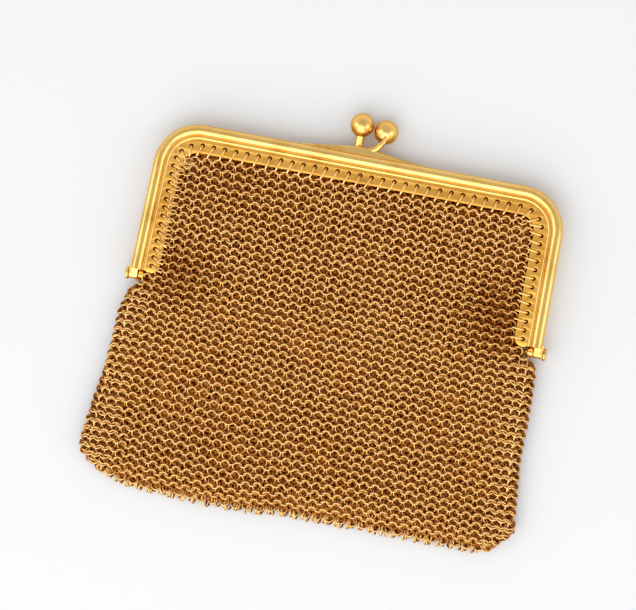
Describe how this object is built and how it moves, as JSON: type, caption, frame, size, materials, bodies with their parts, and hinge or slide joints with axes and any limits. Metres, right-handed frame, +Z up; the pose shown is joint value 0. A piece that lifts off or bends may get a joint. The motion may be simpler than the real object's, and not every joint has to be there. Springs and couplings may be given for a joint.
{
  "type": "metal mesh coin purse",
  "caption": "Flat chain-mesh coin purse on a hinged U frame with pierced flanges and a kiss clasp of two balls, closed and lying on its back.",
  "frame": {"origin": "middle of the outline on the surface that the purse lies on", "axes": "+X along the frame from the left hinge to the right one, +Y from the hem towards the clasp, +Z up through the thickness from the back face to the front one"},
  "size_m": [0.0766, 0.0718, 0.0046],
  "materials": {
    "gilt_frame": "polished gilt",
    "hinge_pin": "polished gilt",
    "gilt_mesh": "worn gilt wire"
  },
  "bodies": {
    "root": {"front_frame": "gilt_frame", "back_frame": "gilt_frame", "left_hinge_pin": "hinge_pin", "right_hinge_pin": "hinge_pin", "mesh_bag": "gilt_mesh"}
  },
  "joints": []
}
